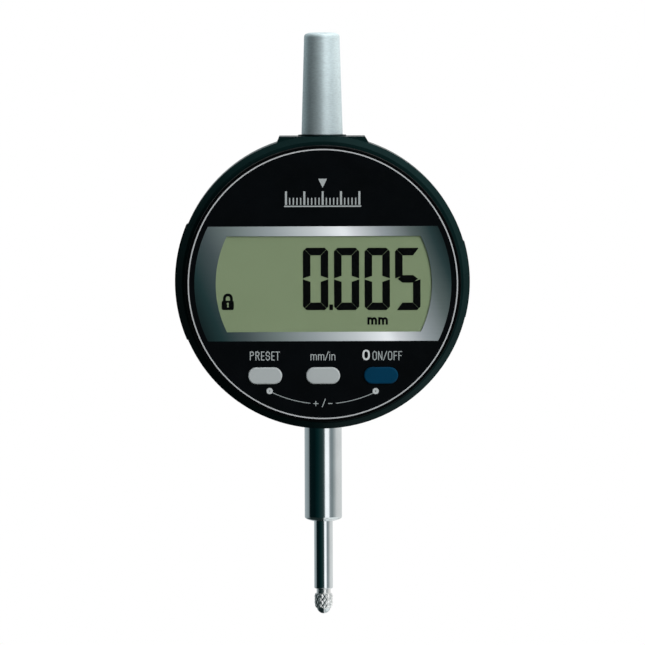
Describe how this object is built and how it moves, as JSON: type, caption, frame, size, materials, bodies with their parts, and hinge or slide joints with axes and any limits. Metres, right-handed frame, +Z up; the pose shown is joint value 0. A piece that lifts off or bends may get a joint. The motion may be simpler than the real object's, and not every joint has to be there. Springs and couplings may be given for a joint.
{
  "type": "digital dial indicator",
  "caption": "Round-faced digital dial indicator: sliding spindle with knurled contact point, 8 mm stem, tapered cap, swivelling display unit with LCD and keys, side battery drawer",
  "frame": {"origin": "on the stem's axis, at the middle of the 8 mm clamping diameter", "axes": "+Z up along the spindle from contact to cap, the dial faces -Y, +X is to the right as the dial is read"},
  "size_m": [0.0632, 0.0265, 0.1247],
  "materials": {
    "case_plastic": "semi-gloss dark teal-black moulded plastic, fine texture",
    "cover_plastic": "fine spark-eroded texture",
    "housing_plastic": "gloss black moulding",
    "face_black": "smooth printed black face",
    "silver_trim": "satin silver",
    "frame_silver": "metallic print, graded light to dark",
    "window_clear": "clear acrylic",
    "lcd_glass": "reflective grey-green liquid crystal panel",
    "lcd_carrier": "white moulding",
    "elastomer": "striped connector rubber",
    "board": "green solder mask over glass laminate",
    "chip": "moulded epoxy",
    "key_grey": "satin light grey key",
    "key_blue": "satin dark blue key",
    "dome": "plated spring steel",
    "ground_steel": "ground stainless steel",
    "spindle_steel": "ground and hardened stainless steel",
    "contact_steel": "knurled hardened steel",
    "ball_carbide": "polished carbide ball",
    "cap_aluminium": "satin anodised",
    "collar_dark": "black",
    "bronze": "bearing bronze",
    "rubber": "black rubber",
    "carrier_aluminium": "machined",
    "scale_strip": "glass scale with fine copper pattern",
    "screw_steel": "black-oxide steel",
    "spring_steel": "spring wire",
    "washer_ptfe": "white low-friction film",
    "cell_steel": "nickel-plated can",
    "contact_plate": "plated spring leaf"
  },
  "bodies": {
    "case": {"rear_case": "case_plastic", "back_cover": "cover_plastic", "cover_gasket": "rubber", "back_cover_screws": "screw_steel", "stem": "ground_steel", "stem_wiper": "rubber", "lower_guide_bush": "bronze", "upper_guide_bush": "bronze", "travel_stop_sleeve": "bronze", "bumper_washer": "rubber", "cap_collar": "collar_dark", "spindle_cap": "cap_aluminium", "return_spring": "spring_steel", "guide_plate": "spring_steel", "guide_plate_screws": "screw_steel", "sensor_board": "board", "sensor_chip": "chip", "sensor_board_screws": "screw_steel", "swivel_washer": "washer_ptfe", "battery_contact_positive": "contact_plate", "battery_contact_negative": "contact_plate", "data_socket_cover": "case_plastic"},
    "spindle_group": {"spindle": "spindle_steel", "contact_point": "contact_steel", "contact_ball": "ball_carbide", "scale_carrier": "carrier_aluminium", "scale_strip": "scale_strip", "anti_rotation_pin": "spring_steel", "carrier_set_screw": "screw_steel"},
    "display_unit": {"display_housing": "housing_plastic", "front_cover": "face_black", "silver_trim_ring": "silver_trim", "lcd_frame": "frame_silver", "display_window": "window_clear", "lcd_panel": "lcd_glass", "lcd_carrier": "lcd_carrier", "elastomer_connectors": "elastomer", "main_board": "board", "controller_chip": "chip", "main_board_screws": "screw_steel", "key_domes": "dome", "swivel_retaining_ring": "spring_steel", "swivel_stop_pin": "spring_steel"},
    "set_key": {"key_set": "key_grey"},
    "units_key": {"key_units": "key_grey"},
    "zero_key": {"key_zero_power": "key_blue"},
    "drawer": {"battery_drawer": "case_plastic", "coin_cell": "cell_steel"}
  },
  "joints": [
    {"name": "spindle_slide", "type": "slide", "parent": "case", "child": "spindle_group", "axis": [0, 0, 1], "range_m": [0, 0.0125], "stiffness_N_per_m": 24, "springref_m": -0.025, "deforming": ["return_spring"]},
    {"name": "display_rotation", "type": "hinge", "parent": "case", "child": "display_unit", "pos_m": [0, -0.012, 0.0409], "axis": [0, 1, 0], "range_deg": [-135, 135]},
    {"name": "set_key_press", "type": "slide", "parent": "display_unit", "child": "set_key", "axis": [0, 1, 0], "range_m": [0, 0.0005], "stiffness_N_per_m": 600, "springref_m": -0.001},
    {"name": "units_key_press", "type": "slide", "parent": "display_unit", "child": "units_key", "axis": [0, 1, 0], "range_m": [0, 0.0005], "stiffness_N_per_m": 600, "springref_m": -0.001},
    {"name": "zero_key_press", "type": "slide", "parent": "display_unit", "child": "zero_key", "axis": [0, 1, 0], "range_m": [0, 0.0005], "stiffness_N_per_m": 600, "springref_m": -0.001},
    {"name": "battery_drawer_slide", "type": "slide", "parent": "case", "child": "drawer", "axis": [-1, 0, 0], "range_m": [0, 0.02]}
  ]
}
